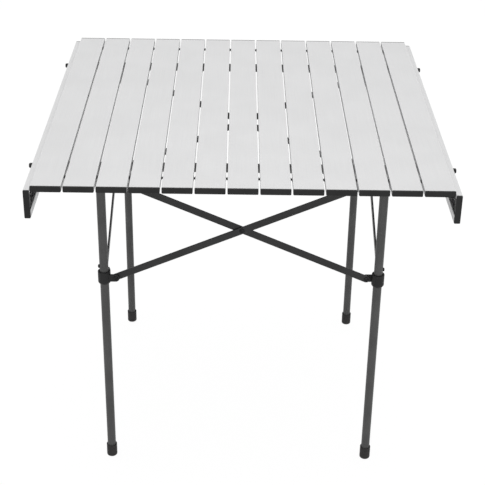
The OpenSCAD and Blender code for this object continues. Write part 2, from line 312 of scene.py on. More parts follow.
class Coat(Bench):
    """A material's tree around one Principled shader."""

    def __init__(self, name):
        self.material = bpy.data.materials.new(name)
        super().__init__(cleared(self.material))
        surface = self.add("ShaderNodeBsdfPrincipled")
        self.shader = surface.socket.node
        self.add("ShaderNodeOutputMaterial", None, {"Surface": surface})
        self.place = self.add("ShaderNodeTexCoord", out="Object")

    def feed(self, **values):
        """Sets or links the shader's sockets and returns the material."""
        for key, value in values.items():
            self.fill(self.shader.inputs[key.replace("_", " ")], value)
        return self.material

    def noise(self, size, detail=2.0, where=None):
        """Noise whose features are about size metres across."""
        where = where or self.place
        return self.add("ShaderNodeTexNoise", None, {"Vector": where, "Scale": 1.0 / size, "Detail": detail})

    def patches(self, size, detail=2.0, low=0.3, high=0.7):
        """Noise spread from 0 to 1 between two of its levels."""
        return self.noise(size, detail).ramp(low, high)

    def wear_and_shade(self):
        """1 on the rounded edges of a piece, where they wear, 0 elsewhere and -1 inside a slat's channel,
        where shade is painted.
        """
        return self.add("ShaderNodeAttribute", {"attribute_name": "wear_and_shade"}, out="Fac")

    def blend(self, factor, first, second):
        """A colour between two."""
        return self.add("ShaderNodeMix", {"data_type": "RGBA"}, {0: factor, 6: first, 7: second}, out=2)

    def bump(self, height, depth, strength):
        """A normal from a height, with its depth in metres."""
        return self.add("ShaderNodeBump", None, {"Height": height, "Distance": depth, "Strength": strength})


def tint(colour, factor=1.0):
    """A colour made lighter or darker, with alpha."""
    return tuple(min(1.0, c * factor) for c in colour) + (1.0,)


def matte_aluminium(name, finish):
    """Fine matte anodising with a faint grain along the slats, edges brightened by wear and painted shade
    inside the channel.
    """
    coat = Coat(name)
    along_slat = (1400.0, 9.0, 1400.0)
    where = coat.add("ShaderNodeMapping", None, {"Vector": coat.place, "Scale": along_slat})
    grain = coat.noise(1.0, 3.0, where)
    fine = coat.noise(0.0007)
    shade = grain.ramp(0.3, 0.7) * 0.6 + coat.patches(0.09) * 0.4
    colour = coat.blend(shade, tint(finish.aluminium, 0.955), tint(finish.aluminium, 1.03))
    wear_and_shade = coat.wear_and_shade()
    edge = wear_and_shade.ramp(0.0, 1.0) * coat.noise(0.02, 3.0).ramp(0.3, 0.65, 0.45, 1.0)
    # Painted shade: faces marked -1 inside a slat's channel take 0.8 of the aluminium colour.
    painted_shade_inside = coat.blend(wear_and_shade.ramp(0.0, -1.0), colour, tint(finish.aluminium, 0.8))
    return coat.feed(
        Base_Color=coat.blend(edge, painted_shade_inside, tint(finish.aluminium, 1.12)),
        Roughness=finish.slat_gloss + grain * 0.10 - 0.05 + fine * 0.06 - edge * 0.10,
        Metallic=0.55,
        Normal=coat.bump(grain * 0.5 + fine, depth=0.00003, strength=0.35),
    )


def moulded(name, colour, gloss):
    """Black plastic with the fine spark-eroded skin of a mould and polished edges."""
    coat = Coat(name)
    skin = coat.noise(0.00055)
    edge = coat.wear_and_shade() * coat.patches(0.006, 2.0, 0.35, 0.6)
    ground = coat.blend(coat.patches(0.03), tint(colour, 0.88), tint(colour, 1.14))
    return coat.feed(
        Base_Color=coat.blend(edge * 0.45, ground, tint(colour, 2.1)),
        Roughness=gloss + skin * 0.16 - 0.08 - edge * 0.12,
        Specular_IOR_Level=0.22,
        Normal=coat.bump(skin, depth=0.00006, strength=0.5),
    )


def powder_coat(name, colour, finish, speck_size):
    """Satin powder coat: orange peel, pale specks in the paint and rubbed edges."""
    coat = Coat(name)
    peel = coat.noise(0.0011)
    cloud = coat.patches(0.05, 3.0)
    near = coat.add("ShaderNodeTexVoronoi", None, {"Vector": coat.place, "Scale": 1.0 / speck_size})
    specks = near.ramp(0.16, 0.064)
    rubs = coat.patches(0.012, 4.0, 0.66, 0.74)
    edge = coat.wear_and_shade() * coat.patches(0.008, 3.0, 0.35, 0.6)
    ground = coat.blend(cloud, tint(colour, 0.9), tint(colour, 1.1))
    flecked = coat.blend(specks * 0.5 + rubs * 0.12, ground, tint(colour, 1.8))
    return coat.feed(
        Base_Color=coat.blend(edge * 0.4, flecked, tint(colour, 2.4)),
        Roughness=finish.coat_gloss + peel * 0.14 - 0.07 + rubs * 0.05 - edge * 0.08,
        Coat_Weight=cloud * 0.03,
        Specular_IOR_Level=0.25,
        Normal=coat.bump(peel, depth=0.00009, strength=0.45),
    )


def black_steel(name, finish):
    """Blackened rivet steel with rubbed, brighter spots."""
    coat = Coat(name)
    stain = coat.patches(0.004, 3.0, 0.4, 0.7)
    fine = coat.noise(0.0004)
    return coat.feed(
        Base_Color=coat.blend(stain * 0.6, tint(finish.steel), tint(finish.steel, 2.2)),
        Roughness=0.42 - stain * 0.10 + fine * 0.08,
        Metallic=0.9,
        Normal=coat.bump(fine, depth=0.00002, strength=0.3),
    )


def braided_elastic(name, finish):
    """Braided sleeve: two sets of strands that cross along the cord, with a pale tracer, painted shade in
    the grooves between strands and painted light on their crests.
    """
    coat = Coat(name)
    strands, lay = 6, 0.0016
    tracer_from, tracer_grey = 0.86, (0.24, 0.24, 0.24, 1.0)
    braid = coat.add("ShaderNodeUVMap", {"uv_map": "braid"})
    around, along = (coat.add("ShaderNodeSeparateXYZ", None, {0: braid}, out=axis) for axis in (0, 1))
    turn = around * (2 * math.pi * strands)
    run = along * (2 * math.pi / lay)
    right, left = (turn + run).sine(), (turn - run).sine()
    weave = right.top(left)
    tracer = (right * (around > tracer_from)).ramp(0.2, 0.7)
    # Painted shade and light: the colour follows the braid's height, darker in the grooves between strands
    # and lighter on their crests.
    ground = coat.blend(weave.ramp(-0.2, 0.9), tint(finish.elastic, 0.45), tint(finish.elastic, 1.3))
    return coat.feed(
        Base_Color=coat.blend(tracer * 0.5, ground, tracer_grey),
        Roughness=0.78 - weave * 0.08,
        Normal=coat.bump(weave, depth=0.00018, strength=0.7),
    )


# Foot rubber is duller than plastic by this much, and the powder coats have specks this far apart
DULLER = 0.1
LEG_SPECKS, BRACE_SPECKS = 0.0034, 0.0029
# The record's slot of each finish, and what makes its material
FINISHES = {
    "matte_aluminium": ("slat_aluminium", matte_aluminium),
    "moulded_plastic": ("black_plastic", lambda name, f: moulded(name, f.plastic, f.plastic_gloss)),
    "foot_rubber": ("black_plastic", lambda name, f: moulded(name, f.rubber, f.plastic_gloss + DULLER)),
    "leg_coat": ("grey_powder_coat", lambda name, f: powder_coat(name, f.leg_coat, f, LEG_SPECKS)),
    "brace_coat": ("brace_paint", lambda name, f: powder_coat(name, f.brace_coat, f, BRACE_SPECKS)),
    "black_steel": ("brace_paint", black_steel),
    "braided_elastic": ("elastic_cord", braided_elastic),
}


def finish_named(name):
    """The material of this name, made when it is first asked for."""
    made = bpy.data.materials.get(name)
    return made or FINISHES[name][1](name, bpy.context.scene.camp_finishes)


# Meshes


def softened(corners, steps=4, guard=0.0005, closed=True):
    """A path with rounded corners: (x, y, radius) in, (x, y, worn) out, with guards beside each arc."""
    out = []
    count = len(corners)
    for i, (x, y, radius) in enumerate(corners):
        here = Vector((x, y))
        if radius <= 0 or (not closed and i in (0, count - 1)):
            out.append((x, y, 0.0))
            continue
        back = Vector(corners[i - 1][:2]) - here
        ahead = Vector(corners[(i + 1) % count][:2]) - here
        half = back.angle(ahead) / 2
        reach = radius / math.tan(half)
        a, b = back.normalized(), ahead.normalized()
        centre = here + (a + b).normalized() * (radius / math.sin(half))
        first, last = a * reach + here - centre, b * reach + here - centre
        start = math.atan2(first.y, first.x)
        sweep = math.remainder(math.atan2(last.y, last.x) - start, 2 * math.pi)
        out.append((*(here + a * (reach + guard)), 0.0))
        for step in range(steps + 1):
            angle = start + sweep * step / steps
            out.append((centre.x + radius * math.cos(angle), centre.y + radius * math.sin(angle), 1.0))
        out.append((*(here + b * (reach + guard)), 0.0))
    return out


def round_end(reach, radius, steps):
    """Points round the end of a bar that lies along +X."""
    arc = [math.pi * (k / steps - 0.5) for k in range(steps + 1)]
    return [(reach + radius * math.cos(a), radius * math.sin(a)) for a in arc]


class Blank:
    """A mesh in the making that keeps the wear of each vertex and marks where shade is painted on it."""

    def __init__(self):
        self.bm = bmesh.new()
        self.wear_and_shade = self.bm.verts.layers.float.new("wear_and_shade")

    def outward(self, faces):
        """Turns the faces of a closed shape outward."""
        volume = 0.0
        for face in faces:
            first, *rest = (vertex.co for vertex in face.verts)
            volume += sum(first.dot(a.cross(b)) for a, b in zip(rest, rest[1:]))
        if volume < 0:
            bmesh.ops.reverse_faces(self.bm, faces=faces)

    def point(self, place, wear_and_shade=0.0):
        """Adds a vertex."""
        vertex = self.bm.verts.new(place)
        vertex[self.wear_and_shade] = wear_and_shade
        return vertex

    def skin(self, rings, closed=False):
        """Faces between rings of vertices; a ring of one vertex is a pole."""
        faces = []
        for low, high in list(zip(rings, rings[1:])) + ([(rings[-1], rings[0])] if closed else []):
            count = max(len(low), len(high))
            for i in range(count):
                j = (i + 1) % count
                if len(low) == 1:
                    corners = (low[0], high[j], high[i])
                elif len(high) == 1:
                    corners = (low[i], low[j], high[0])
                else:
                    corners = (low[i], low[j], high[j], high[i])
                faces.append(self.bm.faces.new(corners))
        return faces

    def lathe(self, profile, place=Matrix(), sides=48, closed=False):
        """Turns a profile of (radius, height, worn) round Z; closed joins its ends, as for a tube."""
        turns = [2 * math.pi * k / sides for k in range(sides)]
        rings = []
        for radius, height, wear_and_shade in profile:
            spots = [(radius * math.cos(a), radius * math.sin(a), height) for a in turns]
            if radius < TINY:
                spots = [(0, 0, height)]
            rings.append([self.point(place @ Vector(spot), wear_and_shade) for spot in spots])
        self.outward(self.skin(rings, closed))
        return self

    def plate(self, outline, depth, edge, place=Matrix(), steps=3):
        """A plate from z = 0 to z = depth over an outline, with its rims rounded and guarded by edge."""
        guard_in, guard_up = edge * 1.4, edge * 1.5
        count = len(outline)
        flat = [Vector(p[:2]) for p in outline]
        area = sum(a.x * b.y - b.x * a.y for a, b in zip(flat, flat[1:] + flat[:1]))
        if area < 0:
            flat.reverse()
        outward = []
        for i in range(count):
            run = (flat[(i + 1) % count] - flat[i - 1]).normalized()
            outward.append(Vector((run.y, -run.x)))
        arcs = [k / steps * math.pi / 2 for k in range(steps + 1)]
        low = [(edge * (1 - math.sin(a)), edge * (1 - math.cos(a)), 1.0) for a in arcs]
        rows = [(guard_in, 0.0, 0.0)] + low + [(0.0, guard_up, 0.0)]
        rows += [(inset, depth - rise, wear_and_shade) for inset, rise, wear_and_shade in reversed(rows)]
        rings = [
            [self.point(place @ Vector((*(p - n * inset), z)), wear_and_shade) for p, n in zip(flat, outward)]
            for inset, z, wear_and_shade in rows
        ]
        ends = [self.bm.faces.new(list(reversed(rings[0]))), self.bm.faces.new(rings[-1])]
        self.outward(self.skin(rings) + ends)
        return self

    def mesh(self):
        """The finished mesh."""
        mesh = bpy.data.meshes.new("blank")
        self.bm.to_mesh(mesh)
        self.bm.free()
        return shaded(mesh)


def shaded(mesh):
    """Smooth shading, with clear edges kept sharp."""
    mesh.polygons.foreach_set("use_smooth", [True] * len(mesh.polygons))
    mesh.set_sharp_from_angle(angle=SHARP)
    return mesh


def rod(radius, low, high, place=Matrix(), sides=64):
    """A plain cylinder along Z."""
    profile = [(0, low, 0), (radius, low, 0), (radius, high, 0), (0, high, 0)]
    return Blank().lathe(profile, place, sides).mesh()


def merged(meshes):
    """One mesh of several, which share one finish."""
    bm = bmesh.new()
    for mesh in meshes:
        bm.from_mesh(mesh)
    out = bpy.data.meshes.new("merged")
    bm.to_mesh(out)
    bm.free()
    return shaded(out)


def added(name, data):
    """An object of the scene."""
    item = bpy.data.objects.new(name, data)
    bpy.context.scene.collection.objects.link(item)
    return item


def show(mesh, name, finish, body, *nodes, place=Matrix()):
    """Puts a copy of a mesh in its place with its finish, on the body that carries it, for its nodes."""
    mesh = mesh.copy()
    mesh.name = name
    mesh.transform(place)
    mesh.materials.clear()
    mesh.materials.append(finish_named(finish))
    piece = added(name, mesh)
    if body:
        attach(piece, body)
    if nodes:
        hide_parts(*nodes)
    return piece


def settled(mesh, tree=None, inputs=None, joins=()):
    """The plain mesh that a node tree, or a chain of boolean cuts and joins, makes of a mesh."""
    piece = added("blank", mesh)
    helpers = []
    if tree:
        modifier = piece.modifiers.new("nodes", "NODES")
        modifier.node_group = tree
        names = {item.name: item.identifier for item in tree.interface.items_tree if item.in_out == "INPUT"}
        for key, value in inputs.items():
            modifier[names[key]] = value
    for operation, tool in joins:
        helpers.append(added("tool", tool))
        modifier = piece.modifiers.new("cut", "BOOLEAN")
        modifier.operation = operation
        modifier.solver = "EXACT"
        modifier.object = helpers[-1]
    bpy.context.view_layer.update()
    graph = bpy.context.evaluated_depsgraph_get()
    out = bpy.data.meshes.new_from_object(piece.evaluated_get(graph))
    for spare in [piece, *helpers]:
        bpy.data.objects.remove(spare)
    return shaded(out)


# Geometry node trees


class Plan(Bench):
    """A geometry node tree with named inputs."""

    def __init__(self, name, **kinds):
        super().__init__(bpy.data.node_groups.new(name, "GeometryNodeTree"))
        for label, kind in {"Geometry": "Geometry", "Finish": "Material", **kinds}.items():
            label = label.replace("_", " ")
            self.tree.interface.new_socket(label, in_out="INPUT", socket_type="NodeSocket" + kind)
        self.tree.interface.new_socket("Geometry", in_out="OUTPUT", socket_type="NodeSocketGeometry")
        self.entry = self.tree.nodes.new("NodeGroupInput")

    def given(self, label):
        """One of the tree's inputs."""
        return Wire(self, self.entry.outputs[label])

    def vector(self, x=0.0, y=0.0, z=0.0):
        """A vector of three values."""
        return self.add("ShaderNodeCombineXYZ", None, {0: x, 1: y, 2: z})

    def join(self, *parts):
        """Several geometries as one."""
        node = self.tree.nodes.new("GeometryNodeJoinGeometry")
        for part in parts:
            self.tree.links.new(part.socket, node.inputs[0])
        return Wire(self, node.outputs[0])

    def done(self, geometry):
        """Realises the result, gives it its finish and ends the tree."""
        real = self.add("GeometryNodeRealizeInstances", None, {"Geometry": geometry})
        finish = {"Geometry": real, "Material": self.given("Finish")}
        coated = self.add("GeometryNodeSetMaterial", None, finish)
        self.add("NodeGroupOutput", None, {0: coated})
        return self.tree


def slat_extrusion():
    """Draws a slat's section along its length and drills the cord holes through its walls."""
    plan = Plan(
        "slat_extrusion", Length="Float", Width="Float", Depth="Float", Hole="Float", Hole_Place="Float",
        Left_Holes="Bool", Right_Holes="Bool", Face_Holes="Bool",
    )
    drill_depth, drill_sides = 0.006, 32
    section = plan.given("Geometry")
    along = {"Mesh": section, "Offset": plan.vector(y=1.0), "Offset Scale": plan.given("Length")}
    drawn = plan.add("GeometryNodeExtrudeMesh", {"mode": "FACES"}, {**along, "Individual": False})
    back = plan.add("GeometryNodeFlipFaces", None, {"Mesh": section})
    both = plan.join(drawn, back)
    bar = plan.add("GeometryNodeMergeByDistance", None, {"Geometry": both, "Distance": TINY})
    size = {"Vertices": drill_sides, "Radius": plan.given("Hole") * 0.5, "Depth": drill_depth}
    drill = plan.add("GeometryNodeMeshCylinder", None, size)
    middle = plan.given("Depth") * -0.5
    holes = []
    for label, x, z, turn in (
        ("Left Holes", plan.given("Width") * -0.5, middle, math.pi / 2),
        ("Right Holes", plan.given("Width") * 0.5, middle, math.pi / 2),
        ("Face Holes", 0.0, 0.0, 0.0),
    ):
        pair = []
        for end in (1.0, -1.0):
            spot = plan.vector(x, plan.given("Hole Place") * end, z)
            put = {"Geometry": drill, "Translation": spot, "Rotation": (0.0, turn, 0.0)}
            pair.append(plan.add("GeometryNodeTransform", None, put))
        wanted = {"Switch": plan.given(label), "True": plan.join(*pair)}
        holes.append(plan.add("GeometryNodeSwitch", {"input_type": "GEOMETRY"}, wanted))
    tools = {"Mesh 1": bar, "Mesh 2": plan.join(*holes)}
    return plan.done(plan.add("GeometryNodeMeshBoolean", {"operation": "DIFFERENCE"}, tools))


def set_out():
    """Puts a fitting on each point, turned by the point's own turn."""
    plan = Plan("set_out", Fitting="Object")
    fitting = plan.add("GeometryNodeObjectInfo", None, {"Object": plan.given("Fitting")}, out="Geometry")
    turn = plan.add("GeometryNodeInputNamedAttribute", {"data_type": "FLOAT_VECTOR"}, {"Name": "turn"})
    angle = plan.add("FunctionNodeEulerToRotation", None, {0: turn})
    sockets = {"Points": plan.given("Geometry"), "Instance": fitting, "Rotation": angle}
    return plan.done(plan.add("GeometryNodeInstanceOnPoints", None, sockets))


def tree_of(maker):
    """A maker's node tree, made when it is first asked for."""
    return bpy.data.node_groups.get(maker.__name__) or maker()


def repeated(fitting, places, finish):
    """One mesh with a fitting at each (point, turn)."""
    points = bpy.data.meshes.new("points")
    points.from_pydata([place for place, _ in places], [], [])
    turns = points.attributes.new("turn", "FLOAT_VECTOR", "POINT")
    turns.data.foreach_set("vector", [value for _, turn in places for value in turn])
    sample = added("fitting", fitting)
    out = settled(points, tree_of(set_out), {"Fitting": sample, "Finish": finish_named(finish)})
    bpy.data.objects.remove(sample)
    return out


# Pieces


def slat_place(number):
    """Where a slat drawn flat, top face at z = 0, belongs; the end slats stand on edge."""
    low, high = node_box(slat_node(number))
    if LEFT_END < number < RIGHT_END:
        return moved((low.x + high.x) / 2, 0, high.z)
    out = -1 if number == LEFT_END else 1
    face = low.x if out < 0 else high.x
    return moved(face, 0, (low.z + high.z) / 2) @ turned("Y", out)


def cord_sides(number):
    """The sides of a slat, as signs along X, that cords pass through; an end slat has none."""
    if number in (LEFT_END, RIGHT_END):
        return ()
    return tuple(side for side in (-1, 1) if 1 <= number + side <= SLATS)


class CAMPTABLE_OT_slats(bpy.types.Operator):
    """Draws the thirteen slats and the two end slats as aluminium channels"""

    bl_idname = "camptable.slats"
    bl_label = "Slats"

    def section(self, top, left_lip, right_lip):
        """The face of a slat's section at its -Y end, with a lip under each long edge."""
        half, deep, wall, edge = top.slat_width / 2, top.slat_depth, top.wall, top.edge
        inner, rim, lower = half - wall, wall * 0.42, edge * 0.8
        low_fillet, high_fillet = 0.0004, 0.0005
        left, right = left_lip - inner, inner - right_lip
        outline = softened(
            [
                (-half, 0.0, edge), (half, 0.0, edge), (half, -deep, lower), (right, -deep, rim),
                (right, wall - deep, rim), (inner, wall - deep, low_fillet), (inner, -wall, high_fillet),
                (-inner, -wall, high_fillet), (-inner, wall - deep, low_fillet), (left, wall - deep, rim),
                (left, -deep, rim), (-half, -deep, lower),
            ],
            guard=0.0002,
        )
        blank = Blank()
        points = []
        for x, z, wear_and_shade in outline:
            # Faces inside the channel, away from the rims of the lips, get -1, where the aluminium finish
            # paints shade.
            painted_shade_face = abs(x) < inner + TINY and wall - deep - TINY < z < TINY - wall
            at_rim = min(abs(x - left), abs(x - right)) < 2 * rim
            points.append(blank.point((x, -top.slat_length / 2, z), -1.0 if painted_shade_face and not at_rim else wear_and_shade))
        blank.bm.faces.new(points)
        face = blank.mesh()
        if face.polygons[0].normal.y < 0:
            face.flip_normals()
        return face

    def execute(self, context):
        top = context.scene.camp_top
        for number in range(LEFT_END, RIGHT_END + 1):
            sides = cord_sides(number)
            lips = [top.end_lip if number == end else top.lip for end in (LEFT_END, RIGHT_END)]
            inputs = {
                "Length": top.slat_length, "Width": top.slat_width, "Depth": top.slat_depth,
                "Hole": top.bushing - 2 * FLANGE_RIM, "Hole Place": top.cord_at,
                "Left Holes": -1 in sides, "Right Holes": 1 in sides, "Face Holes": not sides,
                "Finish": finish_named("matte_aluminium"),
            }
            bar = settled(self.section(top, *lips), tree_of(slat_extrusion), inputs)
            node = slat_node(number)
            name = f"top_{node}" if sides else node.replace("end", "hanging")
            show(bar, name, "matte_aluminium", slat_body(number), node, place=slat_place(number))
        return {"FINISHED"}


class CAMPTABLE_OT_slat_fittings(bpy.types.Operator):
    """Makes the end caps, cord bushings and pegs of all the slats"""

    bl_idname = "camptable.slat_fittings"
    bl_label = "Slat Fittings"

    def rounded_box(self, half, low, high, lower, upper):
        """Outline of a box with lower and upper corners of these radii."""
        corners = [(-half, high, upper), (half, high, upper), (half, low, lower), (-half, low, lower)]
        return softened(corners, guard=0.0003)

    def end_cap(self, top):
        """Cap for the -Y end: a face that follows the slat's outline and a plug inside the channel."""
        half, deep = top.slat_width / 2, top.slat_depth
        upper, lower, rim = 0.0016, 0.0018, 0.0006
        plug_round, plug_rim = 0.0007, 0.0004
        plug_fit = 0.00015
        inset = top.wall + plug_fit
        stand = moved(0, -top.slat_length / 2, 0) @ turned("X")
        cap = Blank().plate(self.rounded_box(half, -deep, 0, lower, upper), top.cap, rim, stand)
        plug = self.rounded_box(half - inset, inset - deep, -inset, plug_round, plug_round)
        cap.plate(plug, top.cap_plug, plug_rim, stand @ moved(0, 0, -top.cap_plug))
        return cap.mesh()

    def bushing(self, top):
        """Flanged bushing for the -X wall, its flange outside."""
        flange, hole, bore = top.bushing / 2, top.bushing / 2 - FLANGE_RIM, top.cord / 2 + SLIDE_FIT
        beyond, edge, brim = 0.002, 0.00018, 0.00022
        deep = top.wall + beyond
        profile = softened(
            [
                (bore, -FLANGE, edge), (flange, -FLANGE, brim), (flange, 0.0, 0.0), (hole, 0.0, 0.0),
                (hole, deep, edge), (bore, deep, edge),
            ],
            steps=3, guard=0.0001,
        )
        return Blank().lathe(profile, turned("Y"), sides=32, closed=True).mesh()

    def peg(self, top, shank):
        """Peg along Z: a domed knob outside the slat and a shank that hooks into the rail's end."""
        knob, pin, out = top.knob / 2, top.peg / 2, top.knob_out
        tip, brim, dome = 0.0008, 0.0005, 0.0022
        profile = softened(
            [
                (0.0, -shank, 0.0), (pin, -shank, tip), (pin, PRESS_FIT, 0.0), (knob, PRESS_FIT, brim),
                (knob, out, dome), (0.0, out, 0.0),
            ],
            steps=5, guard=0.0003, closed=False,
        )
        return Blank().lathe(profile, sides=40).mesh()

    def execute(self, context):
        top = context.scene.camp_top
        half = top.slat_width / 2
        plastic = "moulded_plastic"
        ends = (-top.cord_at, top.cord_at)
        caps = repeated(self.end_cap(top), [((0, 0, 0), STILL), ((0, 0, 0), HALF_TURN)], plastic)
        bushing = self.bushing(top)
        peg = self.peg(top, END_HIGH.x - node_box("end_slat_right_caps")[0].x)
        for number in range(LEFT_END, RIGHT_END + 1):
            node = slat_node(number)
            sides = cord_sides(number)
            holes = [
                ((side * half, y, -top.slat_depth / 2), HALF_TURN if side > 0 else STILL)
                for side in sides
                for y in ends
            ]
            holes = holes or [((0, y, 0), (0, math.pi / 2, 0)) for y in ends]
            meshes = [caps, repeated(bushing, holes, plastic)]
            if not sides:
                across = (RAIL_Z - END_Z) * (1 if number == LEFT_END else -1)
                pegs = [((across, y, 0), STILL) for y in (-LEG_AT, LEG_AT)]
                meshes.append(repeated(peg, pegs, plastic))
            name = f"{node}_fittings".replace("end_slat", "hanging_slat")
            body = slat_body(number)
            show(merged(meshes), name, plastic, body, node + "_caps", place=slat_place(number))
        return {"FINISHED"}


class CAMPTABLE_OT_cords(bpy.types.Operator):
    """Threads the two elastic cords through the slats, one length across each gap"""

    bl_idname = "camptable.cords"
    bl_label = "Elastic Cords"

    def tube(self, blank, path, radius, sides=14):
        """Tube round a path in a plane of constant y, with a UV map of turn and run."""
        uv = blank.bm.loops.layers.uv.get("braid") or blank.bm.loops.layers.uv.new("braid")
        runs, rings = [0.0], []
        for i, here in enumerate(path):
            if i:
                runs.append(runs[-1] + (here - path[i - 1]).length)
            along = (path[min(i + 1, len(path) - 1)] - path[max(i - 1, 0)]).normalized()
            side = Vector((0, 1, 0))
            up = along.cross(side)
            turns = [2 * math.pi * k / sides for k in range(sides)]
            spots = [here + (side * math.cos(a) + up * math.sin(a)) * radius for a in turns]
            rings.append([blank.point(spot) for spot in spots])
        faces = blank.skin(rings)
        for number, face in enumerate(faces):
            row, k = divmod(number, sides)
            corners = ((k, row), (k + 1, row), (k + 1, row + 1), (k, row + 1))
            for loop, (around, along) in zip(face.loops, corners):
                loop[uv].uv = (around / sides, runs[along])
        faces += [blank.bm.faces.new(list(reversed(rings[0]))), blank.bm.faces.new(rings[-1])]
        blank.outward(faces)

    def across_gap(self, top, number, height):
        """The lengths of both cords from the middle of a slat to the middle of the next."""
        first, last = (slat_place(slat).translation.x for slat in (number, number + 1))
        gap, pitch = (first + last) / 2, last - first
        fine, fine_steps, half_steps, bend = 0.00025, 10, 20, 0.0016
        xs = [first + pitch * k / (2 * half_steps) for k in range(half_steps - 1)]
        xs += [gap + k * fine for k in range(-fine_steps, fine_steps + 1)]
        xs += [gap + pitch * k / (2 * half_steps) for k in range(2, half_steps + 1)]
        blank = Blank()
        for y in (-top.cord_at, top.cord_at):
            self.tube(blank, [Vector((x, y, height)) for x in xs], top.cord / 2)
        piece = show(blank.mesh(), f"elastic_cord_{number:02d}", "braided_elastic", None)
        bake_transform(piece)

    def execute(self, context):
        top = context.scene.camp_top
        height = SLAT_HIGH.z - top.slat_depth / 2
        for number in range(1, SLATS):
            self.across_gap(top, number, height)
        # The way to the right end slat: under the last slat, down to the end slat and out through its face
        start_back, exit_back, bend_radius, ring_step = 0.02, 0.0004, 0.007, 0.0015
        exit_x = node_box(slat_node(SLATS))[1].x - exit_back
        bend_x = exit_x - (height - END_Z) / math.tan(top.cord_dip)
        stop_x = END_HIGH.x + FLANGE + PRESS_FIT
        start_x = slat_place(SLATS).translation.x - start_back
        corners = [
            (start_x, height, 0), (bend_x, height, bend_radius),
            (exit_x, END_Z, bend_radius), (stop_x, END_Z, 0),
        ]
        rounded = softened(corners, steps=8, closed=False)
        path = []
        for (x, z, _), (to_x, to_z, _) in zip(rounded, rounded[1:]):
            count = math.ceil(math.hypot(to_x - x, to_z - z) / ring_step)
            path += [(x + (to_x - x) * k / count, z + (to_z - z) * k / count) for k in range(count)]
        path.append((stop_x, END_Z))
        # The middle of the drop has no rings, so that it stays straight while it bends from slat to slat
        bare_from, bare_to, bend_from, bend_to = 0.34, 0.66, 0.36, 0.64
        above, below = Vector((bend_x, height)), Vector((exit_x, END_Z))
        drop = below - above
        shares = [(Vector(place) - above).dot(drop) / drop.length_squared for place in path]
        path = [place for place, down in zip(path, shares) if not bare_from < down < bare_to]
        knot, rise = 0.0032, 0.0024
        button = softened(
            [(0, 0, 0), (knot, 0, 0.0005), (knot, rise, 0.001), (0, rise, 0)], guard=0.0002, closed=False
        )
        for side, end, number, last in ((-1, "left", 1, LEFT_END), (1, "right", SLATS, RIGHT_END)):
            blank, knots = Blank(), Blank()
            for y in (-top.cord_at, top.cord_at):
                self.tube(blank, [Vector((side * x, y, z)) for x, z in path], top.cord / 2)
                knots.lathe(button, moved(side * stop_x, y, END_Z) @ turned("Y", side), sides=28)
            piece = show(blank.mesh(), f"elastic_cord_{end}", "braided_elastic", None)
            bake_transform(piece)
            show(knots.mesh(), f"cord_stoppers_{end}", "moulded_plastic", slat_body(last))
        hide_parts("cord_front", "cord_rear")
        return {"FINISHED"}


def tube_mesh(outer, wall, length):
    """A straight tube along Z from 0 to its length, with broken edges."""
    inner = outer - wall
    inside, outside = 0.0003, 0.0004
    profile = softened(
        [(inner, 0, inside), (outer, 0, outside), (outer, length, outside), (inner, length, inside)],
        steps=2, guard=0.0006,
    )
    return Blank().lathe(profile, sides=56, closed=True).mesh()


class CAMPTABLE_OT_rails(bpy.types.Operator):
    """Makes the two rails under the slats and finishes the plugs in their ends"""

    bl_idname = "camptable.rails"
    bl_label = "Rails"

    def execute(self, context):
        sizes = context.scene.camp_frame
        for end in ("front", "rear"):
            low, high = node_box(f"rail_{end}")
            place = moved(low.x, (low.y + high.y) / 2, RAIL_Z) @ turned("Y")
            mesh = tube_mesh((high.z - low.z) / 2, sizes.tube_wall, high.x - low.x)
            show(mesh, f"{end}_rail", "leg_coat", "rails", f"rail_{end}", place=place)
        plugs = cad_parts["rail_plugs"].data.materials
        plugs.clear()
        plugs.append(finish_named("moulded_plastic"))
        return {"FINISHED"}


class CAMPTABLE_OT_legs(bpy.types.Operator):
    """Makes the four leg tubes, each with the rivet that stops its collar"""

    bl_idname = "camptable.legs"
    bl_label = "Legs"

    def stop_rivet(self):
        """Rivet along Z with a domed head above z = 0."""
        shank, tail, head, rise = 0.002, -0.0025, 0.0035, 0.0026
        tip, brim, dome = 0.0004, 0.0003, 0.0019
        profile = softened(
            [
                (0, tail, 0), (shank, tail, tip), (shank, 0, 0), (head, 0, brim), (head, rise, dome),
                (0, rise, 0),
            ],
            steps=5, guard=0.0002, closed=False,
        )
        return Blank().lathe(profile, sides=28).mesh()

    def execute(self, context):
        sizes = context.scene.camp_frame
        radius = sizes.tube / 2
        rivet = self.stop_rivet()
        for corner, (x, y) in CORNERS.items():
            low, high = node_box(f"leg_{corner}")
            body, place = f"{corner}_leg", moved(x * LEG_AT, y * LEG_AT, low.z)
            mesh = tube_mesh(radius, sizes.tube_wall, high.z - low.z)
            show(mesh, f"{corner}_leg_tube", "leg_coat", body, f"leg_{corner}", place=place)
            spot = (x * (LEG_AT + radius), y * LEG_AT, sizes.stop_at)
            stop = repeated(rivet, [(spot, (0, x * math.pi / 2, 0))], "black_steel")
            show(stop, f"{corner}_stop_rivet", "black_steel", body)
        return {"FINISHED"}


